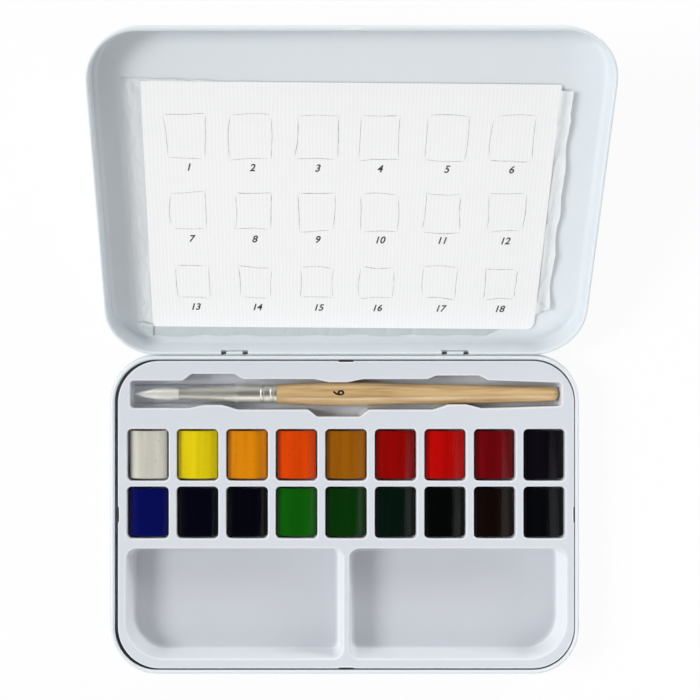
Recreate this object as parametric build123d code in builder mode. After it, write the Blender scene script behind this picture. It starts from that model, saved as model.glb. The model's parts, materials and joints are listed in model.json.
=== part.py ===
"""Watercolour paint set: a hinged tin standing open, with a moulded tray of paint cakes, a brush
that lies in the tray with its clear cap on, and a colour chart on tissue in the lid.

Millimetres, +Z up. The origin is the middle of the base's underside. The hinge runs along X at
the back, and the open lid leans back over +Y.
"""

import os
from math import cos, radians, sin, sqrt

from build123d import *

os.makedirs("parts", exist_ok=True)

# Base of the tin
tin_length = 198.0
tin_width = 135.0
tin_corner = 20.0
sheet = 0.4
base_height = 14.0
shoulder_height = 10.5
base_edge_radius = 1.6
rim_bead = 1.6

# Lid, which slips over the collar above the shoulder
lid_play = 0.35
lid_depth = 9.5
lid_edge_radius = 2.2
curl_diameter = 1.5
curl_gap = 0.1
lid_rise = 28.0
thumb_notch_width = 7.5
thumb_notch_depth = 0.7

# Two hinges: a strip from the base rolled round a wire that crosses a notch in the lid's edge
hinge_spacing = 93.0
knuckle_width = 6.9
notch_width = 11.3
notch_height = 4.0
notch_chamfer = 1.2
leaf_height = 5.0
wire_diameter = 0.7
wire_play = 0.05
wire_grip = 3.0

# Tray: one thin moulding that drops into the base
tray_drop = 0.6
tray_end_play = 0.75
tray_side_play = 0.5
tray_shift = 0.5
tray_corner = 17.5
tray_sheet = 1.0
tray_skirt = 3.5
tray_edge_radius = 0.5
grip_width = 6.5
grip_depth = 0.5

# Two mixing wells along the front
mixing_rib = 2.4
mixing_end_border = 3.4
mixing_front_border = 4.1
mixing_width = 46.3
mixing_corner = 4.5
mixing_outer_corner = 16.0
mixing_draft = 8.0
mixing_floor_radius = 2.0

# Two rows of wells for the cakes
well_columns = 9
well_rows = 2
well_pitch_x = 20.83
well_pitch_y = 24.2
well_length = 21.8
well_width = 17.6
well_corner = 2.0
well_depth = 9.0
wells_centre_y = 12.97

# Paint cakes, cut from a long bar, so that each has its own width
cake_length = 20.0
cake_drop = 0.8
cake_crown = 2.0
cake_shoulder_radius = 1.6
cake_foot_chamfer = 0.8
cake_widths = {
    "cake_01_ivory": 15.5,
    "cake_02_lemon": 16.7,
    "cake_03_golden_yellow": 16.5,
    "cake_04_orange": 16.3,
    "cake_05_ochre": 16.6,
    "cake_06_deep_red": 16.5,
    "cake_07_red": 16.7,
    "cake_08_carmine": 16.4,
    "cake_09_violet": 16.6,
    "cake_10_blue": 16.5,
    "cake_11_indigo": 16.6,
    "cake_12_ink_blue": 16.4,
    "cake_13_green": 16.7,
    "cake_14_dark_green": 16.6,
    "cake_15_blue_green": 16.4,
    "cake_16_black_green": 16.6,
    "cake_17_umber": 16.3,
    "cake_18_black": 16.6,
}

# Brush: a turned handle, a crimped ferrule and a round head
brush_y = 50.5
brush_end_x = 90.7
handle_length = 119.5
handle_shoulder_radius = 4.1
handle_belly_radius = 4.95
handle_belly_from_ferrule = 20.4
handle_middle_radius = 4.45
handle_middle_from_ferrule = 52.0
handle_tail_radius = 3.35
handle_tail_flat = 0.6
tenon_length = 14.0
ferrule_length = 41.2
ferrule_sheet = 0.3
ferrule_mouth_radius = 2.35
ferrule_cone_length = 24.0
ferrule_cone_radius = 3.65
ferrule_end_radius = 3.95
crimps_from_end = (1.9, 6.0)
crimp_width = 1.7
crimp_depth = 0.3
seat_gap = 0.05

# Head of the brush: straight fine hairs, longest in the middle, so that they close to a point
hair_count = 300
hair_sides = 3
hair_length = 19.1
hair_edge_share = 0.45
hair_root_depth = 1.5
hair_spread = 1.9
hair_thickness = 0.14
hair_tip_thickness = 0.07
hair_disc_thickness = 1.0

# Clear cap: a length of open tube
cap_length = 43.5
cap_overhang = 0.2
cap_diameter = 8.6
cap_wall = 0.4

# Groove for the brush, with a finger relief opposite a narrow neck at three places
groove_depth = 10.1
groove_end_play = 0.4
groove_cap_play = 1.0
groove_cap_half = 5.75
groove_middle_half = 6.4
groove_tail_half = 5.9
groove_end_half = 4.9
relief_foot = 25.5
relief_head = 18.0
neck_foot = 20.5
neck_head = 7.5
neck_play = 0.15
groove_corner = 1.5
groove_floor_radius = 1.0
groove_floor_play = 0.15

# Colour chart and the tissue under it
chart_length = 157.7
chart_width = 102.4
chart_thickness = 0.4
chart_from_hinge = 12.7
chart_corner = 2.5
tissue_length = 169.0
tissue_width = 112.0
tissue_thickness = 0.3
tissue_from_hinge = 6.0
tissue_shift = -1.5
tissue_corner = 4.0
paper_gap = 0.1


def save(piece, name):
    """Labels a finished piece and writes it under its own name."""
    piece.label = name
    export_step(piece, f"parts/{name}.step")


def inset_outline(inset):
    """The tin's outline in plan, drawn in by an inset."""
    RectangleRounded(tin_length - 2 * inset, tin_width - 2 * inset, tin_corner - inset)


def rounded_loop(plane, centre, inset):
    """A closed line on a plane that follows the tin's outline at an inset."""
    half_length = tin_length / 2 - inset
    half_width = tin_width / 2 - inset
    x, y = centre
    corners = [
        (x + sx * half_length, y + sy * half_width) for sx, sy in ((-1, -1), (1, -1), (1, 1), (-1, 1))
    ]
    with BuildLine(plane) as loop:
        FilletPolyline(*corners, radius=tin_corner - inset, close=True)
    return loop


# Hinge line and the open lid's own plane: x along the hinge, y across the lid, z out of its mouth
collar_step = lid_play + sheet
collar_inner = collar_step + sheet
curl_radius = curl_diameter / 2
wire_radius = wire_diameter / 2
knuckle_radius = curl_radius
hinge_y = tin_width / 2 - sheet + curl_radius
hinge_z = shoulder_height + curl_gap + curl_radius
hinge_places = ((-hinge_spacing / 2, "left"), (hinge_spacing / 2, "right"))
lid_plane = Plane(
    origin=(0, hinge_y, hinge_z),
    x_dir=(1, 0, 0),
    z_dir=(0, -sin(radians(lid_rise)), cos(radians(lid_rise))),
)
lid_centre = (0, hinge_y)

# Base: a drawn pan with a stepped wall and a rim rolled inwards
bead_radius = rim_bead / 2
bead_z = base_height - bead_radius
leaf_bottom = hinge_z - knuckle_radius - leaf_height
with BuildPart() as base_hollow:
    with BuildSketch(Plane.XY.offset(sheet)):
        inset_outline(sheet)
    extrude(amount=shoulder_height - 2 * sheet)
    fillet(base_hollow.edges().group_by(Axis.Z)[0], base_edge_radius - sheet)
    with BuildSketch(Plane.XY.offset(shoulder_height - sheet)):
        inset_outline(collar_inner)
    extrude(amount=base_height - shoulder_height + sheet)
with BuildPart() as base:
    with BuildSketch():
        inset_outline(0)
    extrude(amount=shoulder_height)
    fillet(base.edges().group_by(Axis.Z)[0], base_edge_radius)
    with BuildSketch(Plane.XY.offset(shoulder_height)):
        inset_outline(collar_step)
    extrude(amount=bead_z - shoulder_height)
    add(base_hollow.part, mode=Mode.SUBTRACT)
    # Rolled rim
    rim_path = rounded_loop(Plane.XY.offset(bead_z), (0, 0), collar_step + bead_radius)
    with BuildSketch(Plane(origin=rim_path.wire() @ 0, z_dir=rim_path.wire() % 0)):
        Circle(bead_radius)
    sweep(path=rim_path.wire())
    # Hinge strips up the back wall, each rolled into a knuckle round its wire
    for x, side in hinge_places:
        with BuildSketch(Plane.YZ.offset(x - knuckle_width / 2)):
            with Locations((tin_width / 2 + sheet / 2, leaf_bottom + leaf_height / 2 + knuckle_radius / 2)):
                Rectangle(sheet, leaf_height + knuckle_radius)
            with Locations((hinge_y, hinge_z)):
                Circle(knuckle_radius)
                Circle(wire_radius + wire_play, mode=Mode.SUBTRACT)
        extrude(amount=knuckle_width)
save(base.part, "base_tin")

# Lid: a shallow drawn cover with a curled edge, notched for the two hinges
notch_top = -curl_radius - notch_height
lid_normal = Axis(lid_plane.origin, lid_plane.z_dir)
with BuildPart() as lid_hollow:
    with BuildSketch(lid_plane.offset(sheet - lid_depth)):
        with Locations(lid_centre):
            inset_outline(sheet)
    extrude(amount=lid_depth)
    fillet(lid_hollow.faces().sort_by(lid_normal)[0].edges(), lid_edge_radius - sheet)
with BuildPart() as lid:
    with BuildSketch(lid_plane.offset(-lid_depth)):
        with Locations(lid_centre):
            inset_outline(0)
    extrude(amount=lid_depth)
    fillet(lid.faces().sort_by(lid_normal)[0].edges(), lid_edge_radius)
    add(lid_hollow.part, mode=Mode.SUBTRACT)
    # Curled edge
    curl_path = rounded_loop(lid_plane, lid_centre, sheet - curl_radius)
    with BuildSketch(Plane(origin=curl_path.wire() @ 0, z_dir=curl_path.wire() % 0)):
        Circle(curl_radius)
    sweep(path=curl_path.wire())
    # A notch for each knuckle, with its outer top corner cut off, and a bore for the wire
    for x, side in hinge_places:
        outwards = 1 if x > 0 else -1
        inner_x = x - outwards * notch_width / 2
        outer_x = x + outwards * notch_width / 2
        with BuildSketch(Plane(lid_plane.from_local_coords((0, -curl_diameter, 0)), (1, 0, 0), -lid_plane.y_dir)):
            with BuildLine():
                Polyline(
                    (inner_x, -curl_diameter),
                    (outer_x, -curl_diameter),
                    (outer_x, -notch_top - notch_chamfer),
                    (outer_x - outwards * notch_chamfer, -notch_top),
                    (inner_x, -notch_top),
                    close=True,
                )
            make_face()
        extrude(amount=-2 * curl_diameter - sheet, mode=Mode.SUBTRACT)
        with BuildSketch(Plane.YZ.offset(x - notch_width / 2 - wire_grip)):
            with Locations((hinge_y, hinge_z)):
                Circle(wire_radius)
        extrude(amount=notch_width + 2 * wire_grip, mode=Mode.SUBTRACT)
    # Thumb notch in the curled edge at the front
    front_y = lid_centre[1] + tin_width / 2 - sheet + curl_diameter
    with BuildSketch(lid_plane.offset(-curl_radius)):
        with Locations((0, front_y)):
            Rectangle(thumb_notch_width, 2 * thumb_notch_depth)
    extrude(amount=curl_diameter, mode=Mode.SUBTRACT)
save(lid.part, "lid_tin")

# Hinge wires, held in the lid's curled edge on both sides of each knuckle
for x, side in hinge_places:
    with BuildPart() as wire:
        with BuildSketch(Plane.YZ.offset(x - notch_width / 2 - wire_grip)):
            with Locations((hinge_y, hinge_z)):
                Circle(wire_radius)
        extrude(amount=notch_width + 2 * wire_grip)
    save(wire.part, f"hinge_wire_{side}")

# Places along the brush, from the tip on the left to the end of the handle on the right
ferrule_end_x = brush_end_x - handle_length
ferrule_mouth_x = ferrule_end_x - ferrule_length
tip_x = ferrule_mouth_x - hair_length
cap_left_x = tip_x - cap_overhang
tray_top = base_height - tray_drop
groove_floor = tray_top - groove_depth
brush_z = groove_floor + handle_belly_radius + groove_floor_play
brush_axis = Axis((0, brush_y, brush_z), (1, 0, 0))
brush_plane = Plane(origin=(0, brush_y, brush_z), x_dir=(1, 0, 0), z_dir=(0, -1, 0))
belly_x = ferrule_end_x + handle_belly_from_ferrule
middle_x = ferrule_end_x + handle_middle_from_ferrule
tail_x = brush_end_x - sqrt(handle_tail_radius**2 - handle_tail_flat**2)


def handle_radius(x):
    """The handle's radius at a place along it, by straight runs between its turned sizes."""
    stations = (
        (ferrule_end_x, handle_shoulder_radius),
        (belly_x, handle_belly_radius),
        (middle_x, handle_middle_radius),
        (tail_x, handle_tail_radius),
    )
    for (x0, r0), (x1, r1) in zip(stations, stations[1:]):
        if x <= x1:
            return r0 + (r1 - r0) * (x - x0) / (x1 - x0)
    return handle_tail_radius


# Handle: turned wood with a tenon that fills the ferrule
tenon_radius = ferrule_cone_radius - ferrule_sheet - crimp_depth
with BuildPart() as handle:
    with BuildSketch(brush_plane):
        with BuildLine():
            Polyline(
                (brush_end_x, 0),
                (ferrule_end_x - tenon_length, 0),
                (ferrule_end_x - tenon_length, tenon_radius),
                (ferrule_end_x + seat_gap, tenon_radius),
                (ferrule_end_x + seat_gap, handle_shoulder_radius),
            )
            ThreePointArc(
                (ferrule_end_x + seat_gap, handle_shoulder_radius),
                (belly_x, handle_belly_radius),
                (middle_x, handle_middle_radius),
            )
            Line((middle_x, handle_middle_radius), (tail_x, handle_tail_radius))
            RadiusArc((tail_x, handle_tail_radius), (brush_end_x, handle_tail_flat), handle_tail_radius)
            Line((brush_end_x, handle_tail_flat), (brush_end_x, 0))
        make_face()
    revolve(axis=brush_axis)
save(handle.part, "brush_handle")


def ferrule_edge(depth):
    """One face of the ferrule's wall, from its mouth to its end, at a depth below the outside."""
    cone_x = ferrule_mouth_x + ferrule_cone_length
    slope = (ferrule_end_radius - ferrule_cone_radius) / (ferrule_end_x - cone_x)
    last = (cone_x, ferrule_cone_radius - depth)
    Line((ferrule_mouth_x, ferrule_mouth_radius - depth), last)
    for from_end in sorted(crimps_from_end, reverse=True):
        middle = ferrule_end_x - from_end
        radius = ferrule_cone_radius + slope * (middle - cone_x) - depth
        near = (middle - crimp_width / 2, radius)
        far = (middle + crimp_width / 2, radius)
        Line(last, near)
        ThreePointArc(near, (middle, radius - crimp_depth), far)
        last = far
    end = (ferrule_end_x, ferrule_end_radius - depth)
    Line(last, end)
    return end


# Ferrule: a seamless metal cone crimped twice onto the tenon
with BuildPart() as ferrule:
    with BuildSketch(brush_plane):
        with BuildLine():
            outer_end = ferrule_edge(0)
            inner_end = ferrule_edge(ferrule_sheet)
            Line(outer_end, inner_end)
            Line(
                (ferrule_mouth_x, ferrule_mouth_radius),
                (ferrule_mouth_x, ferrule_mouth_radius - ferrule_sheet),
            )
        make_face()
    revolve(axis=brush_axis)
save(ferrule.part, "brush_ferrule")


def hair(index):
    """One hair of the head on a sunflower pattern, shorter the further out it stands."""
    share = (index + 0.5) / hair_count
    turn = radians(index * 180 * (3 - sqrt(5)))
    across = sqrt(share) * hair_spread
    reach = hair_length * (1 - (1 - hair_edge_share) * share)
    with BuildPart() as one:
        for out, thickness in ((-hair_root_depth, hair_thickness), (reach, hair_tip_thickness)):
            with BuildSketch(Plane.YZ.offset(ferrule_mouth_x - out)):
                with Locations((brush_y + across * cos(turn), brush_z + across * sin(turn))):
                    RegularPolygon(thickness / 2, hair_sides)
        loft(ruled=True)
    return one.part


# Head: every hair rooted in a thin disc of glue inside the ferrule's mouth
hairs = [hair(index) for index in range(hair_count)]
disc_x = ferrule_mouth_x + hair_root_depth - hair_disc_thickness / 2
with BuildPart() as head:
    with BuildSketch(Plane.YZ.offset(disc_x)):
        with Locations((brush_y, brush_z)):
            Circle(ferrule_mouth_radius - ferrule_sheet - seat_gap)
    extrude(amount=hair_disc_thickness)
    add(hairs)
save(head.part, "brush_head")

# Cap: clear tube pushed on over the head until it meets the ferrule's cone
with BuildPart() as cap:
    with BuildSketch(Plane.YZ.offset(cap_left_x)):
        with Locations((brush_y, brush_z)):
            Circle(cap_diameter / 2)
            Circle(cap_diameter / 2 - cap_wall, mode=Mode.SUBTRACT)
    extrude(amount=cap_length)
save(cap.part, "brush_cap")

# Groove's places: each is its middle, the side the relief is on, and the relief's reach
groove_left_x = cap_left_x - groove_cap_play
groove_right_x = brush_end_x + groove_end_play
cap_right_x = cap_left_x + cap_length
finger_places = ((-55.5, 1, 8.6), (-2.7, -1, 9.4), (47.5, 1, 7.9))
groove_halves = (groove_cap_half, groove_middle_half, groove_middle_half, groove_tail_half)


def groove_edge(side):
    """One long edge of the groove, left to right, as distances from the brush's axis."""
    points = [(groove_left_x, groove_cap_half)]
    for (middle, relief_side, reach), before, after in zip(finger_places, groove_halves, groove_halves[1:]):
        foot, top, out = relief_foot, relief_head, reach
        if side != relief_side:
            on_cap = middle < cap_right_x
            widest = cap_diameter / 2 if on_cap else handle_radius(middle - neck_head / 2)
            foot, top, out = neck_foot, neck_head, widest + neck_play
        points += [(middle - foot / 2, before), (middle - top / 2, out)]
        points += [(middle + top / 2, out), (middle + foot / 2, after)]
    points.append((groove_right_x, groove_end_half))
    return [(x, brush_y + side * distance) for x, distance in points]


# Tray: the outsides of all its wells under a flange with a skirt, then their hollows cut
tray_length = tin_length - 2 * (collar_step + rim_bead + tray_end_play)
tray_width = tin_width - 2 * (collar_step + rim_bead + tray_side_play)
mixing_front_y = -tray_width / 2 + mixing_front_border
mixing_depth = tray_top - sheet - tray_sheet
tray_plane = Plane.XY.offset(tray_top)


def mixing_well(side, grow):
    """The space of one mixing well, grown by a wall for its outside."""
    inner_x = tray_shift + side * (mixing_rib / 2 - grow)
    outer_x = tray_shift + side * (tray_length / 2 - mixing_end_border + grow)
    front = mixing_front_y - grow
    back = mixing_front_y + mixing_width + grow
    with BuildPart() as space:
        with BuildSketch(tray_plane) as outline:
            with Locations(((inner_x + outer_x) / 2, (front + back) / 2)):
                Rectangle(abs(outer_x - inner_x), back - front)
            sharp = [v for v in outline.vertices() if abs(v.X - outer_x) + abs(v.Y - front) > mixing_corner]
            fillet(sharp, mixing_corner + grow)
            sharp = outline.vertices().sort_by_distance(tray_plane.to_local_coords(Vector(outer_x, front, 0)))
            fillet(sharp[0], mixing_outer_corner + grow)
        extrude(amount=-mixing_depth - grow, taper=mixing_draft)
        fillet(space.edges().group_by(Axis.Z)[0], mixing_floor_radius + grow)
    return space.part


def cake_wells(grow):
    """The space of every cake's well, grown by a wall for their outsides."""
    with BuildPart() as space:
        with BuildSketch(tray_plane):
            with Locations((tray_shift, wells_centre_y)):
                with GridLocations(well_pitch_x, well_pitch_y, well_columns, well_rows):
                    RectangleRounded(well_width + 2 * grow, well_length + 2 * grow, well_corner + grow)
        extrude(amount=-well_depth - grow)
    return space.part


def brush_groove(grow):
    """The space of the brush groove, grown by a wall for its outside."""
    with BuildPart() as space:
        with BuildSketch(tray_plane) as outline:
            with BuildLine():
                Polyline(*groove_edge(1), *reversed(groove_edge(-1)), close=True)
            make_face()
            fillet(outline.vertices(), groove_corner)
            if grow:
                offset(amount=grow)
        extrude(amount=-groove_depth - grow)
        fillet(space.edges().group_by(Axis.Z)[0], groove_floor_radius + grow)
    return space.part


def tray_spaces(grow):
    """All the wells and the groove, as separate solids."""
    return [mixing_well(-1, grow), mixing_well(1, grow), cake_wells(grow), brush_groove(grow)]


tray_outsides = tray_spaces(tray_sheet)
tray_hollows = tray_spaces(0)
with BuildPart() as tray:
    with BuildSketch(Plane.XY.offset(tray_top - tray_skirt)):
        with Locations((tray_shift, 0)):
            RectangleRounded(tray_length, tray_width, tray_corner)
    extrude(amount=tray_skirt)
    with BuildSketch(Plane.XY.offset(tray_top - tray_skirt)):
        with Locations((tray_shift, 0)):
            RectangleRounded(
                tray_length - 2 * tray_sheet, tray_width - 2 * tray_sheet, tray_corner - tray_sheet
            )
    extrude(amount=tray_skirt - tray_sheet, mode=Mode.SUBTRACT)
    add(tray_outsides)
    add(tray_hollows, mode=Mode.SUBTRACT)
    fillet(tray.edges().group_by(Axis.Z)[-1], tray_edge_radius)
    # A shallow finger grip in the middle of each side
    with BuildSketch(Plane.XY.offset(tray_top - tray_skirt)):
        with Locations((tray_shift, -tray_width / 2), (tray_shift, tray_width / 2)):
            Rectangle(grip_width, 2 * grip_depth)
        with Locations((tray_shift - tray_length / 2, 0), (tray_shift + tray_length / 2, 0)):
            Rectangle(2 * grip_depth, grip_width)
    extrude(amount=tray_skirt, mode=Mode.SUBTRACT)
save(tray.part, "tray")

# Cakes, row by row from the back left, each standing on its well's floor
cake_height = well_depth - cake_drop
cake_side = cake_height - cake_crown
cake_floor = tray_top - well_depth
for index, (name, width) in enumerate(cake_widths.items()):
    row, column = divmod(index, well_columns)
    x = tray_shift + (column - (well_columns - 1) / 2) * well_pitch_x
    y = wells_centre_y + ((well_rows - 1) / 2 - row) * well_pitch_y
    with BuildPart() as cake:
        with BuildSketch(Plane((x, y + cake_length / 2, cake_floor), (1, 0, 0), (0, -1, 0))) as section:
            with BuildLine():
                Polyline(
                    (-width / 2, cake_side),
                    (-width / 2, cake_foot_chamfer),
                    (-width / 2 + cake_foot_chamfer, 0),
                    (width / 2 - cake_foot_chamfer, 0),
                    (width / 2, cake_foot_chamfer),
                    (width / 2, cake_side),
                )
                ThreePointArc((width / 2, cake_side), (0, cake_height), (-width / 2, cake_side))
            make_face()
            fillet(section.vertices().group_by(Axis.Y)[-1], cake_shoulder_radius)
        extrude(amount=cake_length)
    save(cake.part, name)

# Papers in the lid: tissue on its floor and the colour chart on the tissue
lid_floor = sheet - lid_depth
tissue_plane = lid_plane.offset(lid_floor + paper_gap)
with BuildPart() as tissue:
    with BuildSketch(tissue_plane):
        with Locations((tissue_shift, tissue_from_hinge + tissue_width / 2)):
            RectangleRounded(tissue_length, tissue_width, tissue_corner)
    extrude(amount=tissue_thickness)
save(tissue.part, "tissue")
with BuildPart() as chart:
    with BuildSketch(tissue_plane.offset(tissue_thickness + paper_gap)):
        with Locations((0, chart_from_hinge + chart_width / 2)):
            RectangleRounded(chart_length, chart_width, chart_corner)
    extrude(amount=chart_thickness)
save(chart.part, "colour_chart")
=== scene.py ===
import json
import math
import random

import bmesh
import bpy
from mathutils import Matrix, Vector, noise


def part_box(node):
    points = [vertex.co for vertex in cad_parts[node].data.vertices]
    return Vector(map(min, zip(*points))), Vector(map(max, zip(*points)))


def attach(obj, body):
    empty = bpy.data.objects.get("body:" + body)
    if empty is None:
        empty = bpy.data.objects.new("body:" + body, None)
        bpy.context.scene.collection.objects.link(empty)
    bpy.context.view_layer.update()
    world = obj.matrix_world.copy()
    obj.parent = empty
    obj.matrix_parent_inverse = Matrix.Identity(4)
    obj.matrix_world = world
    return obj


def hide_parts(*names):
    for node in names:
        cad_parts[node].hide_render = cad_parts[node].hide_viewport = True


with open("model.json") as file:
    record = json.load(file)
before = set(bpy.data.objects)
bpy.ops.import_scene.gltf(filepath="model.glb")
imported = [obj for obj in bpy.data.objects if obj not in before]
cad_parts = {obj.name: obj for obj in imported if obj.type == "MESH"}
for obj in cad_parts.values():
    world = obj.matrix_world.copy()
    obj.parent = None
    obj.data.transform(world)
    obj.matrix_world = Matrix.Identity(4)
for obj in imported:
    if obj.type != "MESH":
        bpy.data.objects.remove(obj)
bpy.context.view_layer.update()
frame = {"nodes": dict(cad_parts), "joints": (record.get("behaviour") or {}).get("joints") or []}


# Studio. The set stands on a white table, photographed from straight above, a little left of
# the middle and beyond the hinge, so that the leaning lid fills the upper half of the picture.
camera_data = bpy.data.cameras.new("camera")
camera_data.lens = 60.2
camera_data.sensor_width = 36.0
camera_data.shift_x = 0.083
camera_data.shift_y = -0.014
camera_data.clip_start = 0.01
camera = bpy.data.objects.new("camera", camera_data)
camera.location = (-0.0223, 0.0733, 0.505)
bpy.context.scene.collection.objects.link(camera)
bpy.context.scene.camera = camera
bpy.context.scene.view_settings.view_transform = "Standard"


def add_node(tree, kind, inputs, **settings):
    """A new shader node. Each input gets a plain value or the output of another node."""
    node = tree.nodes.new(kind)
    for label, value in settings.items():
        setattr(node, label, value)
    for label, value in inputs.items():
        if isinstance(value, bpy.types.NodeSocket):
            tree.links.new(value, node.inputs[label])
        else:
            node.inputs[label].default_value = value
    return node


def calculate(tree, operation, *values):
    """The output of a new math node, from plain numbers and the outputs of other nodes."""
    return add_node(tree, "ShaderNodeMath", dict(enumerate(values)), operation=operation).outputs[0]


# The strip of table under the hinge, which stays dark, as any such gap is
gap_length = 0.090
gap_width = 0.0042
gap_middle = 0.0702
gap_softness = 0.2
glow_share = 0.9


def table_material():
    """White that glows to whatever sees it, with a tenth of it left to light and shadow."""
    material = bpy.data.materials.new("white_table")
    material.use_nodes = True
    tree = material.node_tree
    tree.nodes.clear()
    path = tree.nodes.new("ShaderNodeLightPath").outputs
    seen = calculate(tree, "MAXIMUM", path["Is Camera Ray"], path["Is Glossy Ray"])
    seen = calculate(tree, "MAXIMUM", seen, path["Is Transmission Ray"])
    place = tree.nodes.new("ShaderNodeTexCoord").outputs["Object"]
    gap = add_node(
        tree,
        "ShaderNodeVectorMath",
        {0: place, 1: (1 / gap_length, 1 / gap_width, 0), 2: (0, -gap_middle / gap_width, 0)},
        operation="MULTIPLY_ADD",
    )
    gap_distance = add_node(tree, "ShaderNodeVectorMath", {0: gap.outputs[0]}, operation="LENGTH")
    outside = add_node(
        tree,
        "ShaderNodeMapRange",
        {"Value": gap_distance.outputs["Value"], "From Min": 1 - gap_softness, "To Max": glow_share},
    )
    share = calculate(tree, "MULTIPLY", seen, outside.outputs["Result"])
    diffuse = add_node(tree, "ShaderNodeBsdfDiffuse", {"Color": (0.86, 0.86, 0.86, 1)})
    glow = add_node(tree, "ShaderNodeEmission", {"Strength": 1.0})
    mix = add_node(tree, "ShaderNodeMixShader", {0: share, 1: diffuse.outputs[0], 2: glow.outputs[0]})
    add_node(tree, "ShaderNodeOutputMaterial", {"Surface": mix.outputs[0]})
    return material


bpy.ops.mesh.primitive_plane_add(size=6.0, location=(0, 0, -0.0002))
floor = bpy.context.object
floor.name = "floor"
floor.data.materials.append(table_material())

world = bpy.data.worlds.new("studio")
world.use_nodes = True
bpy.context.scene.world = world
sky = world.node_tree
direction = sky.nodes.new("ShaderNodeTexCoord").outputs["Generated"]

# The room is bright on the window's side and dim on the other
towards_window = (-0.36, 0.28, -0.22)
room_mean = 0.545
room = add_node(sky, "ShaderNodeVectorMath", {0: direction, 1: towards_window}, operation="DOT_PRODUCT")
room_level = calculate(sky, "ADD", room.outputs["Value"], room_mean)

# Gloss shows the dark ceiling overhead and the bright walls lower down
upwards = add_node(sky, "ShaderNodeSeparateXYZ", {0: direction}).outputs["Z"]
ceiling = add_node(
    sky,
    "ShaderNodeMapRange",
    {"Value": upwards, "From Min": 0.30, "From Max": 0.85, "To Min": 1.0, "To Max": 0.06},
    interpolation_type="SMOOTHSTEP",
)
path = sky.nodes.new("ShaderNodeLightPath").outputs
surroundings = add_node(
    sky,
    "ShaderNodeMix",
    {"Factor": path["Glossy Depth"], "A": room_level, "B": ceiling.outputs["Result"]},
)

# White is seen past the table, also through clear plastic, but not in what mirrors the room
through_clear = calculate(sky, "SUBTRACT", path["Is Transmission Ray"], path["Glossy Depth"])
seen_sky = calculate(sky, "MAXIMUM", path["Is Camera Ray"], through_clear)
level = add_node(sky, "ShaderNodeMix", {"Factor": seen_sky, "A": surroundings.outputs["Result"], "B": 1.0})
background = sky.nodes["Background"].inputs
background["Color"].default_value = (0.985, 0.99, 1.0, 1)
sky.links.new(level.outputs["Result"], background["Strength"])

# The window on the left gives most of the light, and is the one lamp that no gloss shows
lamp_aim = Vector((0, 0.05, 0))
for name, place, size, power, mirrored in (
    ("window", (-1.52, 0.08, 1.25), 0.65, 24.0, False),
    ("front", (0.15, -0.9, 0.9), 0.6, 3.0, True),
    ("far_window", (1.0, 0.72, 0.39), 0.5, 7.0, True),
    ("wall", (0.35, -0.12, 0.36), 0.2, 0.3, True),
):
    lamp = bpy.data.lights.new(name, "AREA")
    lamp.size = size
    lamp.energy = power
    lamp_object = bpy.data.objects.new(name, lamp)
    lamp_object.location = place
    lamp_object.rotation_euler = (lamp_aim - Vector(place)).to_track_quat("-Z", "Y").to_euler()
    lamp_object.visible_glossy = mirrored
    bpy.context.scene.collection.objects.link(lamp_object)


# Base of the tin. A pan drawn from thin sheet steel with a stepped wall and a rolled rim,
# stove-enamelled white, with the two hinge strips fixed to its back wall.
def new_material(name):
    """A new material, with its node tree and its shader."""
    material = bpy.data.materials.new(name)
    material.use_nodes = True
    tree = material.node_tree
    return material, tree, tree.nodes["Principled BSDF"]


def mixed(tree, share, under, over, kind="MIX"):
    """The output of a new node that lays a share of one colour over another."""
    inputs = {"Factor": share, "A": under, "B": over}
    return add_node(tree, "ShaderNodeMix", inputs, data_type="RGBA", blend_type=kind).outputs["Result"]


def relief(tree, height, distance, strength):
    """Raises and sinks a material's surface a little, by a height that changes over it."""
    inputs = {"Height": height, "Distance": distance, "Strength": strength}
    lumps = add_node(tree, "ShaderNodeBump", inputs)
    tree.links.new(lumps.outputs["Normal"], tree.nodes["Principled BSDF"].inputs["Normal"])


def surface_group(name, inputs):
    """A shader node group with named inputs, for a surface's colour, roughness and height."""
    tree = bpy.data.node_groups.new(name, "ShaderNodeTree")
    for label, kind in inputs.items():
        tree.interface.new_socket(label, in_out="INPUT", socket_type=kind)
    outputs = {"Color": "NodeSocketColor", "Roughness": "NodeSocketFloat", "Height": "NodeSocketFloat"}
    for label, kind in outputs.items():
        tree.interface.new_socket(label, in_out="OUTPUT", socket_type=kind)
    return tree, tree.nodes.new("NodeGroupInput").outputs, tree.nodes.new("NodeGroupOutput").inputs


def mottle_group():
    """Soft uneven tone, uneven gloss and a faint waviness, as on any painted or moulded surface."""
    inputs = {"Light": "NodeSocketColor", "Dark": "NodeSocketColor"}
    inputs |= {"Scale": "NodeSocketFloat", "Gloss": "NodeSocketFloat"}
    tree, source, result = surface_group("mottle", inputs)
    place = tree.nodes.new("ShaderNodeTexCoord").outputs["Object"]
    inputs = {"Vector": place, "Scale": source["Scale"], "Detail": 4.0}
    cloud = add_node(tree, "ShaderNodeTexNoise", inputs).outputs["Fac"]
    tree.links.new(mixed(tree, cloud, source["Dark"], source["Light"]), result["Color"])
    tree.links.new(calculate(tree, "MULTIPLY_ADD", cloud, 0.1, source["Gloss"]), result["Roughness"])
    tree.links.new(cloud, result["Height"])
    return tree


mottle = mottle_group()


def surfaced(name, group, values, bump, strength, **constants):
    """A material that a node group finishes. Constants are set on the shader's own sockets."""
    material, tree, shader = new_material(name)
    effect = add_node(tree, "ShaderNodeGroup", values, node_tree=group)
    tree.links.new(effect.outputs["Color"], shader.inputs["Base Color"])
    tree.links.new(effect.outputs["Roughness"], shader.inputs["Roughness"])
    relief(tree, effect.outputs["Height"], bump, strength)
    for label, value in constants.items():
        shader.inputs[label.replace("_", " ")].default_value = value
    return material


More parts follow.
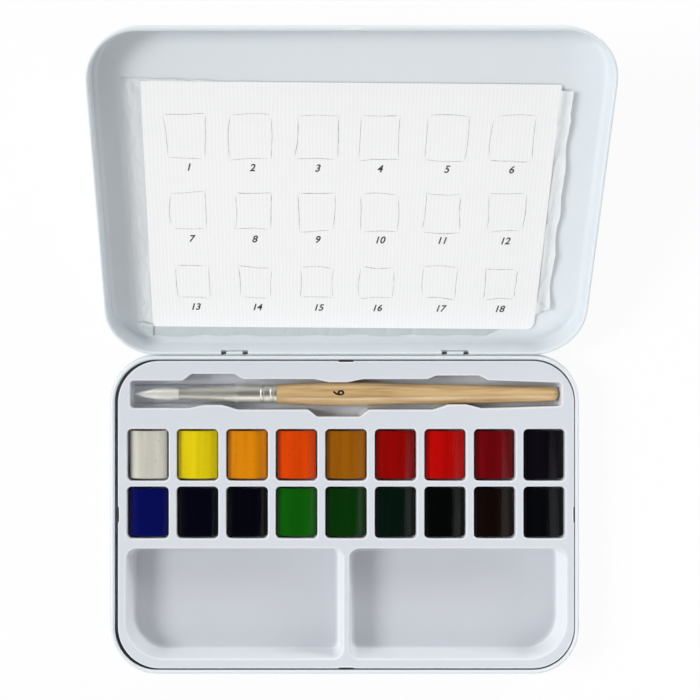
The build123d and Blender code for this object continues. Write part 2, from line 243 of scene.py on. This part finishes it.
def tone(colour, factor):
    """A colour made lighter or darker by a factor."""
    return tuple(min(1.0, channel * factor) for channel in colour[:3]) + (1,)


def mottled(name, colour, gloss, spread=0.05, scale=90.0, bump=0.0001, **constants):
    """A material of one colour with the mottle effect."""
    values = {"Light": tone(colour, 1 + spread), "Dark": tone(colour, 1 - spread)}
    values |= {"Scale": scale, "Gloss": gloss}
    return surfaced(name, mottle, values, bump, strength=0.4, **constants)


def srgb(red, green, blue):
    """A colour given from 0 to 255 as a screen shows it, in linear light."""
    def linear(value):
        share = value / 255
        return share / 12.92 if share <= 0.04045 else ((share + 0.055) / 1.055) ** 2.4

    return (linear(red), linear(green), linear(blue), 1)


def dress(node, material):
    """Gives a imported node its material."""
    materials = frame["nodes"][node].data.materials
    materials.clear()
    materials.append(material)


enamel = mottled("white_enamel", srgb(222, 228, 232), 0.25, spread=0.015)
dress("base_tin", enamel)


# Lid. A shallow cover drawn from the same sheet, its edge curled outwards round the hinge
# wires, enamelled white inside and out.
dress("lid_tin", enamel)


# Hinge wires. Two short steel wires, held in the lid's curled edge where the notches bare them, with the
# base's strips rolled round them.
# Their dark colour is partly the steel's own and partly painted shade, for the shade in the notches
wire_steel_and_shade = mottled("dark_wire", srgb(74, 80, 80), 0.4, scale=900.0, Metallic=1.0)
for side in ("left", "right"):
    dress(f"hinge_wire_{side}", wire_steel_and_shade)


# Tray. One thin white moulding with two mixing wells, eighteen wells for cakes and the brush
# groove, dropped loose into the base.
def mask(tree, value, start, end):
    """A mask that rises from 0 to 1 while a value goes from start to end."""
    inputs = {"Value": value, "From Min": start, "From Max": end}
    return add_node(tree, "ShaderNodeMapRange", inputs).outputs["Result"]


def paint_over(material, share, colour, kind="MIX"):
    """Lays a colour over a material's own, where a mask says so."""
    tree = material.node_tree
    paint = tree.nodes["Principled BSDF"].inputs["Base Color"]
    tree.links.new(mixed(tree, share, paint.links[0].from_socket, colour, kind), paint)


tray_colour = srgb(211, 215, 222)
# The width of the painted highlight on the lips, and the heights over which the painted shade low in the
# wells fades in
lip_highlight_radius = 0.0011
painted_shade_from = 0.0040
painted_shade_to = 0.0024


def tray_material():
    """White plastic with a painted highlight on the lips of its wells, painted light on its walls and
    painted shade low in the wells.
    """
    material = mottled("white_moulding", tray_colour, 0.26, spread=0.015, scale=60.0)
    tree = material.node_tree
    surface = tree.nodes.new("ShaderNodeNewGeometry").outputs["Normal"]
    place = tree.nodes.new("ShaderNodeTexCoord").outputs["Object"]

    # Painted highlight: the lips of the wells are painted paler within a bevel's reach of their edges
    rounded = add_node(tree, "ShaderNodeBevel", {"Radius": lip_highlight_radius}, samples=6).outputs["Normal"]
    likeness = add_node(tree, "ShaderNodeVectorMath", {0: rounded, 1: surface}, operation="DOT_PRODUCT")
    painted_lip_highlight = mask(tree, likeness.outputs["Value"], 0.995, 0.90)
    paint_over(material, painted_lip_highlight, tone(tray_colour, 1.6))

    # Painted shade: the wells are darker low down
    height = add_node(tree, "ShaderNodeSeparateXYZ", {0: place}).outputs["Z"]
    paint_over(material, mask(tree, height, painted_shade_from, painted_shade_to), (0.84, 0.835, 0.83, 1), "MULTIPLY")

    # The drawn walls are thinner than the floors
    # Painted light: the walls, which face sideways, are painted paler than the floors, for the light that
    # falls on them
    facing_up = add_node(tree, "ShaderNodeSeparateXYZ", {0: surface}).outputs["Z"]
    paint_over(material, mask(tree, facing_up, 0.85, 0.30), srgb(235, 238, 242))
    return material


dress("tray", tray_material())


# Cakes. Gum-bound paint, squeezed out as a bar with a crowned top, cut across and set in the
# wells, glossy on top with fine lines along it and dull, crumbly cut ends.
def streaks(tree, scale, **settings):
    """Noise over the object's own coordinates, with a scale for each axis to draw it out."""
    place = tree.nodes.new("ShaderNodeTexCoord").outputs["Object"]
    drawn_out = add_node(tree, "ShaderNodeMapping", {"Vector": place, "Scale": scale})
    inputs = {"Vector": drawn_out.outputs["Vector"], "Scale": 1.0} | settings
    return add_node(tree, "ShaderNodeTexNoise", inputs).outputs["Fac"]


def cake_group():
    """Lines drawn along a cake by its die, dull pits where the paint has chipped, and painted sheen in soft
    bands along it.
    """
    inputs = {"Paint": "NodeSocketColor", "Chipped": "NodeSocketColor"}
    tree, source, result = surface_group("cake_lines_and_sheen", inputs)
    lines = streaks(tree, (900.0, 60.0, 900.0), Detail=3.0)
    place = tree.nodes.new("ShaderNodeTexCoord").outputs["Object"]
    inputs = {"Vector": place, "Scale": 700.0, "Detail": 6.0}
    crumbs = add_node(tree, "ShaderNodeTexNoise", inputs).outputs["Fac"]
    chipped = mixed(tree, mask(tree, crumbs, 0.62, 0.70), source["Paint"], source["Chipped"])
    # Painted sheen: soft lighter and darker bands along the cake's top
    sheen_bands = add_node(
        tree,
        "ShaderNodeMapRange",
        {
            "Value": streaks(tree, (230.0, 9.0, 40.0)),
            "From Min": 0.3,
            "From Max": 0.7,
            "To Min": 0.84,
            "To Max": 1.16,
        },
    )
    sheen_banded = mixed(tree, 1.0, chipped, sheen_bands.outputs["Result"], "MULTIPLY")
    tree.links.new(sheen_banded, result["Color"])
    tree.links.new(calculate(tree, "MULTIPLY_ADD", lines, 0.20, 0.08), result["Roughness"])
    tree.links.new(calculate(tree, "MULTIPLY_ADD", crumbs, 0.5, lines), result["Height"])
    return tree


cake_lines_and_sheen = cake_group()
cake_colours = {
    "cake_01_ivory": srgb(203, 200, 188),
    "cake_02_lemon": srgb(216, 194, 16),
    "cake_03_golden_yellow": srgb(208, 126, 10),
    "cake_04_orange": srgb(212, 66, 4),
    "cake_05_ochre": srgb(152, 89, 8),
    "cake_06_deep_red": srgb(142, 5, 3),
    "cake_07_red": srgb(172, 6, 4),
    "cake_08_carmine": srgb(104, 5, 12),
    "cake_09_violet": srgb(12, 8, 16),
    "cake_10_blue": srgb(6, 12, 84),
    "cake_11_indigo": srgb(3, 4, 16),
    "cake_12_ink_blue": srgb(3, 4, 12),
    "cake_13_green": srgb(14, 88, 9),
    "cake_14_dark_green": srgb(8, 50, 8),
    "cake_15_blue_green": srgb(5, 21, 14),
    "cake_16_black_green": srgb(3, 5, 5),
    "cake_17_umber": srgb(17, 7, 5),
    "cake_18_black": srgb(5, 6, 10),
}

# The gloss adds a little light, so the paint under it is a little darker than the cake looks
paint_tone = 0.93
chip_tone = 0.8
for node, colour in cake_colours.items():
    values = {"Paint": tone(colour, paint_tone), "Chipped": tone(colour, chip_tone)}
    paint_name = "paint_" + node.split("_", 2)[2]
    dress(
        node,
        surfaced(paint_name, cake_lines_and_sheen, values, bump=0.00012, strength=0.5, Specular_IOR_Level=0.1),
    )


# Brush handle. Turned from a pale close-grained wood and lacquered clear, with its size
# printed across it near the ferrule.
def wood_material():
    """Pale lacquered wood with long streaks of grain along the handle."""
    material, tree, shader = new_material("lacquered_wood")
    grain = streaks(tree, (38.0, 620.0, 620.0), Detail=5.0, Distortion=0.4)
    ramp = add_node(tree, "ShaderNodeValToRGB", {"Fac": grain})
    ramp.color_ramp.elements[0].position = 0.3
    ramp.color_ramp.elements[0].color = srgb(172, 135, 84)
    ramp.color_ramp.elements[1].position = 0.62
    ramp.color_ramp.elements[1].color = srgb(211, 180, 130)
    tree.links.new(ramp.outputs["Color"], shader.inputs["Base Color"])
    relief(tree, grain, distance=0.00005, strength=0.3)
    shader.inputs["Roughness"].default_value = 0.3
    shader.inputs["Coat Weight"].default_value = 0.6
    shader.inputs["Coat Roughness"].default_value = 0.08
    return material


dress("brush_handle", wood_material())
handle_low, handle_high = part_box("brush_handle")
handle_radius = (handle_high[1] - handle_low[1]) / 2
axis_y = (handle_low[1] + handle_high[1]) / 2
axis_z = (handle_low[2] + handle_high[2]) / 2
black_ink = mottled("black_ink", srgb(24, 22, 20), 0.45)

# The size of type whose digits stand one unit high
type_size = 1.4


def flat_text(name, words, height, weight, turn=0.0, slant=0.0):
    """Plain lettering as a mesh, centred on the origin and lying in the XY plane."""
    curve = bpy.data.curves.new(name, "FONT")
    curve.body = words
    curve.size = height * type_size
    curve.offset = weight
    curve.shear = slant
    curve.align_x = "CENTER"
    curve.align_y = "CENTER"
    scratch = bpy.data.objects.new(name, curve)
    bpy.context.scene.collection.objects.link(scratch)
    bpy.context.view_layer.update()
    mesh = bpy.data.meshes.new_from_object(scratch.evaluated_get(bpy.context.evaluated_depsgraph_get()))
    bpy.data.objects.remove(scratch)
    mesh.transform(Matrix.Rotation(turn, 4, "Z"))
    made = bpy.data.objects.new(name, mesh)
    bpy.context.scene.collection.objects.link(made)
    return made


# The mark is printed round the handle, a little narrowed and off the top line
mark_x = -0.0024
mark_aside = 0.0007
mark_narrowing = 0.75
mark_lift = 0.00003
size_mark = flat_text("size_mark", "6", 0.0046, weight=0.00016, turn=math.radians(90))
shape = bmesh.new()
shape.from_mesh(size_mark.data)
bmesh.ops.triangulate(shape, faces=shape.faces[:])
bmesh.ops.subdivide_edges(shape, edges=shape.edges[:], cuts=3, use_grid_fill=True)
for corner in shape.verts:
    off_axis = mark_aside + corner.co.y * mark_narrowing
    corner.co.x += mark_x
    corner.co.y = axis_y + off_axis
    corner.co.z = axis_z + math.sqrt(handle_radius**2 - off_axis**2) + mark_lift
shape.to_mesh(size_mark.data)
shape.free()
size_mark.data.materials.append(black_ink)
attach(size_mark, "brush")


# Ferrule. A seamless cone of nickel-plated brass, polished, with the handle's end inside it
# and two crimps that hold it there.
nickel = mottled("polished_nickel", srgb(230, 226, 214), 0.40, scale=300.0, Metallic=1.0)
dress("brush_ferrule", nickel)


# Head of the brush. Off-white synthetic hair set in glue inside the ferrule, swelling a
# little past its mouth and closing to a soft point.
def make_piece(name, shape):
    """Puts what has been modelled into the scene as a named piece."""
    mesh = bpy.data.meshes.new(name)
    shape.to_mesh(mesh)
    shape.free()
    made = bpy.data.objects.new(name, mesh)
    bpy.context.scene.collection.objects.link(made)
    return made


def bridge(shape, near, far):
    """A band of faces between two rings of corners."""
    for corner in range(len(near)):
        after = (corner + 1) % len(near)
        shape.faces.new((near[corner], near[after], far[after], far[corner]))


hair_count = 1100
hair_radius = 0.00004
point_radius = 0.000012
shortening = 0.10

# The head's radius at shares of its length from the ferrule's mouth
head_profile = (
    (-0.06, 0.00180),
    (0.0, 0.00197),
    (0.3, 0.00238),
    (0.55, 0.00215),
    (0.8, 0.00125),
    (1.0, 0.0002),
)


def hair_head():
    """Fine tapered hairs on a sunflower pattern, all following the head's bell shape."""
    ferrule_low, ferrule_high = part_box("brush_ferrule")
    head_low, head_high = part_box("brush_head")
    mouth = ferrule_low[0]
    length = mouth - head_low[0]
    chance = random.Random(6)
    shape = bmesh.new()
    for index in range(hair_count):
        share = (index + 0.5) / hair_count
        turn = index * math.pi * (3 - math.sqrt(5)) + chance.uniform(-0.06, 0.06)
        reach = 1 - shortening * share * chance.random()
        rings = []
        for along, spread in head_profile:
            across = math.sqrt(share) * spread
            thick = hair_radius if along < 0.9 else point_radius
            x = mouth - length * along * reach
            middle = Vector((x, axis_y + across * math.cos(turn), axis_z + across * math.sin(turn)))
            ring = []
            for corner in range(3):
                angle = turn + corner * math.tau / 3
                ring.append(shape.verts.new(middle + Vector((0, math.cos(angle), math.sin(angle))) * thick))
            rings.append(ring)
        for near, far in zip(rings, rings[1:]):
            bridge(shape, near, far)
        shape.faces.new(rings[-1])
    return make_piece("brush_hair", shape)


hair = hair_head()
hair.data.materials.append(
    mottled("synthetic_hair", srgb(240, 238, 231), 0.4, spread=0.08, scale=2500.0, Sheen_Weight=0.2)
)
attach(hair, "brush")
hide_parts("brush_head")


# Cap. A short length of thin clear tube, open at both ends, pushed over the hair onto the
# ferrule's cone.
def clear_material():
    """Thin clear plastic with a faint unevenness in its gloss."""
    material, tree, shader = new_material("clear_tube")
    haze = add_node(tree, "ShaderNodeTexNoise", {"Scale": 400.0}).outputs["Fac"]
    dull = add_node(tree, "ShaderNodeMapRange", {"Value": haze, "To Min": 0.0, "To Max": 0.05})
    tree.links.new(dull.outputs["Result"], shader.inputs["Roughness"])
    shader.inputs["Base Color"].default_value = (0.97, 0.98, 0.99, 1)
    shader.inputs["Transmission Weight"].default_value = 1.0
    shader.inputs["IOR"].default_value = 1.2
    shader.inputs["Alpha"].default_value = 0.4
    return material


dress("brush_cap", clear_material())

# Painted highlight: the cut ends of the tube are drawn as thin bright rings
cap_low, cap_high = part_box("brush_cap")
ring_steps = 64
ring_lift = 0.00003
ring_radius = (cap_high[1] - cap_low[1]) / 2 + ring_lift
ring_wall = 0.00022
ring_length = 0.00016
cut_end_highlight = mottled("cut_end_highlight", srgb(236, 239, 242), 0.3, Alpha=0.8)
for name, end, inwards in (("cap_mouth", cap_high[0], -1), ("cap_end", cap_low[0], 1)):
    shape = bmesh.new()
    loops = []
    for depth, along in ((0.0, 0.0), (ring_wall, 0.0), (ring_wall, ring_length), (0.0, ring_length)):
        radius = ring_radius - depth
        x = end + inwards * along
        loop = []
        for step in range(ring_steps):
            angle = step * math.tau / ring_steps
            y = axis_y + radius * math.cos(angle)
            z = axis_z + radius * math.sin(angle)
            loop.append(shape.verts.new((x, y, z)))
        loops.append(loop)
    for near, far in zip(loops, loops[1:] + loops[:1]):
        bridge(shape, near, far)
    bmesh.ops.recalc_face_normals(shape, faces=shape.faces[:])
    ring = make_piece(name, shape)
    ring.data.materials.append(cut_end_highlight)
    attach(ring, "cap")


# Tissue. A torn sheet of thin white tissue that lies crumpled on the lid's floor under the
# colour chart, with two corners folded over.
def joint(name):
    """A joint of the frame, by its name."""
    return next(each for each in frame["joints"] if each["name"] == name)


hinge = Vector(joint("lid_hinge")["pos_m"])
lid_out = -Vector(joint("tissue_lift")["axis"])
lid_across = Vector((1, 0, 0))
lid_up = lid_out.cross(lid_across)
lid_floor = -0.0091


def on_lid(across, up, out):
    """A point by its distance along the hinge, up the lid from the hinge and out of its mouth."""
    return hinge + lid_across * across + lid_up * up + lid_out * out


tissue_left = -0.0875
tissue_right = 0.0855
tissue_bottom = 0.0038
tissue_top_left = 0.1149
tissue_top_right = 0.1102

# The part that the card presses flat, and how soon the tissue rises beside it
pressed_side = 0.0800
pressed_bottom = 0.0085
pressed_top = 0.1125
pressed_margin = 0.003

# The heights of its creases, pressed and loose, and of the curl along its torn sides
sheet_lift = 0.00012
pressed_creases = 0.00010
loose_creases = 0.0011
curl_height = 0.0009
curl_width = 0.0025

# It lies flatter near its lower edge
flatter_from = 0.012
flatter_to = 0.006

# Each fold's two ends, and how far the folded corner stands off the sheet
folds = (
    ((-0.0878, 0.0108), (-0.0815, 0.0036), 0.0006),
    ((0.0606, 0.0037), (0.0857, 0.0165), 0.00012),
)


def clamped(value):
    """A value held between 0 and 1."""
    return min(1.0, max(0.0, value))


def tissue_height(across, up):
    """How far the tissue stands off the lid's floor: pressed flat under the card, creased outside it."""
    under_card = min(pressed_side - abs(across), up - pressed_bottom, pressed_top - up)
    loose = clamped(0.5 - under_card / pressed_margin)
    loose *= 0.35 + 0.65 * clamped((up - flatter_to) / (flatter_from - flatter_to))
    point = Vector((across * 70, up * 32, 3.7))
    creases = abs(noise.noise(point)) + 0.45 * abs(noise.noise(point * 2.7))
    creases += 0.2 * abs(noise.noise(point * 6.1))
    side = min(across - tissue_left, tissue_right - across)
    curl = max(0.0, 1 - side / curl_width) ** 2
    return sheet_lift + (pressed_creases + loose_creases * loose) * creases + curl_height * curl * loose


def fold_over(across, up, start, end, rise):
    """Turns what lies beyond a fold line back over the sheet."""
    run = Vector(end) - Vector(start)
    outwards = Vector((run.y, -run.x)).normalized()
    beyond = (Vector((across, up)) - Vector(start)).dot(outwards)
    if beyond <= 0:
        return across, up, 0.0
    return across - 2 * beyond * outwards.x, up - 2 * beyond * outwards.y, rise + 0.03 * beyond


def tissue_sheet(columns=240, rows=160):
    """The tissue as a fine grid with wavering torn edges and two folded corners."""
    shape = bmesh.new()
    grid = []
    for row in range(rows + 1):
        line = []
        for column in range(columns + 1):
            share = column / columns
            across = tissue_left + (tissue_right - tissue_left) * share
            top = tissue_top_left + (tissue_top_right - tissue_top_left) * share
            up = tissue_bottom + (top - tissue_bottom) * row / rows
            fray = 0.0007 * noise.noise(Vector((across * 90, up * 90, 9.1)))
            fray += 0.0003 * noise.noise(Vector((across * 400, up * 400, 2.3)))
            near_side = abs(share - 0.5) * 2
            near_end = abs(row / rows - 0.5) * 2
            across += fray * near_side**12 * math.copysign(1, share - 0.5)
            up += fray * near_end**12 * math.copysign(1, row / rows - 0.5)
            rise = 0.0
            for start, end, step in folds:
                across, up, lifted = fold_over(across, up, start, end, step)
                rise += lifted
            height = lid_floor + tissue_height(across, up) + rise
            line.append(shape.verts.new(on_lid(across, up, height)))
        grid.append(line)
    for low, high in zip(grid, grid[1:]):
        for column in range(columns):
            shape.faces.new((low[column], low[column + 1], high[column + 1], high[column]))
    return make_piece("tissue_sheet", shape)


def tissue_material():
    """Soft white paper, with painted shade along its lower edge."""
    material = mottled(
        "tissue_paper", srgb(222, 226, 228), 0.8, spread=0.04, scale=220.0, bump=0.0002, Sheen_Weight=0.1
    )
    tree = material.node_tree
    place = tree.nodes.new("ShaderNodeTexCoord").outputs["Object"]
    along = add_node(tree, "ShaderNodeSeparateXYZ", {0: place}).outputs["Y"]
    # Painted shade darkens the strip along the tissue's lower edge
    painted_shade_lower_edge = mask(tree, along, on_lid(0, 0.0095, lid_floor).y, on_lid(0, 0.0070, lid_floor).y)
    paint_over(material, painted_shade_lower_edge, (0.76, 0.80, 0.79, 1), "MULTIPLY")
    return material


tissue = tissue_sheet()
tissue.data.materials.append(tissue_material())
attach(tissue, "tissue")
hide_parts("tissue")


# Colour chart. A card of white laid paper, loose on the tissue, printed with the numbers of the
# paints. A square is sketched in pencil over each number by hand, for its owner to fill in.
chart_length = 0.1615
chart_width = 0.1055
chart_thickness = 0.0004
chart_face = lid_floor + 0.0005 + chart_thickness
chart_middle_up = 0.0078 + chart_width / 2
chart_turn = math.radians(-0.5)

# Each corner's side, end and radius
chart_corners = ((1, -1, 0.0030), (1, 1, 0.0008), (-1, 1, 0.0004), (-1, -1, 0.0012))


def on_chart(across, up, out):
    """A point on the card, by its distance from the card's middle."""
    turned_across = across * math.cos(chart_turn) - up * math.sin(chart_turn)
    turned_up = across * math.sin(chart_turn) + up * math.cos(chart_turn)
    return on_lid(turned_across, chart_middle_up + turned_up, chart_face + out)


def chart_card():
    """The card as one flat cut sheet, its four corners worn round by handling, each by its own amount."""
    outline = []
    for right, top, radius in chart_corners:
        centre = (right * (chart_length / 2 - radius), top * (chart_width / 2 - radius))
        first = math.atan2(top, right) - math.pi / 4
        for step in range(9):
            angle = first + step * math.pi / 16
            outline.append((centre[0] + radius * math.cos(angle), centre[1] + radius * math.sin(angle)))
    shape = bmesh.new()
    face = [shape.verts.new(on_chart(across, up, 0)) for across, up in outline]
    back = [shape.verts.new(on_chart(across, up, -chart_thickness)) for across, up in outline]
    shape.faces.new(face)
    shape.faces.new(back[::-1])
    bridge(shape, back, face)
    return make_piece("chart_card", shape)


def laid_paper():
    """White card with the fine upright ribs of laid paper."""
    material, tree, shader = new_material("laid_paper")
    place = tree.nodes.new("ShaderNodeTexCoord").outputs["Object"]
    inputs = {"Vector": place, "Scale": 205.0, "Distortion": 3.0, "Detail Scale": 0.4}
    ribs = add_node(tree, "ShaderNodeTexWave", inputs, bands_direction="X").outputs["Fac"]
    paper = mixed(tree, ribs, srgb(248, 248, 248), srgb(252, 252, 252))
    tree.links.new(paper, shader.inputs["Base Color"])
    relief(tree, ribs, distance=0.00005, strength=0.4)
    shader.inputs["Roughness"].default_value = 0.75
    return material


card = chart_card()
card.data.materials.append(laid_paper())
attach(card, "chart")
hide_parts("colour_chart")


def pencil_material():
    """Graphite that catches only on the tops of the paper's grain, darker where the hand pressed."""
    material, tree, shader = new_material("pencil_line")
    place = tree.nodes.new("ShaderNodeTexCoord").outputs["Object"]
    grain = add_node(tree, "ShaderNodeTexNoise", {"Vector": place, "Scale": 2600.0}).outputs["Fac"]
    press = add_node(tree, "ShaderNodeAttribute", {}, attribute_name="press").outputs["Fac"]
    cover = calculate(tree, "MULTIPLY", grain, press)
    graphite = mixed(tree, cover, srgb(246, 246, 246), srgb(30, 30, 34))
    tree.links.new(graphite, shader.inputs["Base Color"])
    shader.inputs["Roughness"].default_value = 0.6
    return material


pencil = pencil_material()
pencil_width = 0.00026
pencil_shake = 0.00022
drawn_height = 0.00002


def stroke(shape, press, start, end, bow, hand):
    """One pencil line between two points on the card, bowed, tapered and unevenly pressed."""
    steps = 18
    run = Vector(end) - Vector(start)
    side = Vector((-run.y, run.x)).normalized()
    force = hand.uniform(0.75, 1.25)
    wander = hand.uniform(0, 50)
    last = None
    for step in range(steps + 1):
        share = step / steps
        middle = Vector(start) + run * share
        shake = pencil_shake * noise.noise(Vector((share * 3, wander, 0)))
        middle += side * (bow * 4 * share * (1 - share) + shake)
        taper = min(1.0, 0.35 + 5 * share, 0.35 + 5 * (1 - share))
        uneven = 0.75 + 0.6 * noise.noise(Vector((share * 5, wander, 7.0)))
        half = pencil_width / 2 * taper
        pair = []
        for edge in (-half, half):
            point = middle + side * edge
            corner = shape.verts.new(on_chart(point.x, point.y, drawn_height))
            corner[press] = max(0.1, force * taper * uneven)
            pair.append(corner)
        if last:
            shape.faces.new((last[0], pair[0], pair[1], last[1]))
        last = pair


# The squares in three rows of six: each row's height up the card, first middle, width and
# height, and how far under its squares' middles the numbers stand
square_rows = (
    (0.0310, -0.0646, 0.0161, 0.0184, 0.0128),
    (-0.0002, -0.0640, 0.0143, 0.0162, 0.0122),
    (-0.0318, -0.0632, 0.0138, 0.0142, 0.0116),
)
square_pitch = 0.0256
number_aside = 0.0006
hand = random.Random(23)
for index in range(18):
    row, column = divmod(index, 6)
    row_up, first_across, width, height, number_drop = square_rows[row]
    middle = first_across + column * square_pitch + hand.uniform(-0.0006, 0.0006)
    corners = []
    for right, top in ((-1, -1), (1, -1), (1, 1), (-1, 1)):
        across = middle + right * width / 2 + hand.uniform(-0.0007, 0.0007)
        up = row_up + top * height / 2 + hand.uniform(-0.0007, 0.0007)
        corners.append(Vector((across, up)))
    shape = bmesh.new()
    press = shape.verts.layers.float.new("press")
    for start, end in zip(corners, corners[1:] + corners[:1]):
        run = (end - start).normalized()
        begin = start + run * hand.uniform(-0.0004, 0.0010)
        stop = end + run * hand.uniform(-0.0012, 0.0005)
        stroke(shape, press, begin, stop, hand.uniform(-0.0007, 0.0007), hand)
    square = make_piece(f"pencil_square_{index + 1:02d}", shape)
    square.data.materials.append(pencil)
    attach(square, "chart")
    number = flat_text(f"number_{index + 1:02d}", str(index + 1), 0.0030, weight=0.00009, slant=0.25)
    for vertex in number.data.vertices:
        across = middle + number_aside + vertex.co.x
        vertex.co = on_chart(across, row_up - number_drop + vertex.co.y, drawn_height)
    number.data.materials.append(black_ink)
    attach(number, "chart")
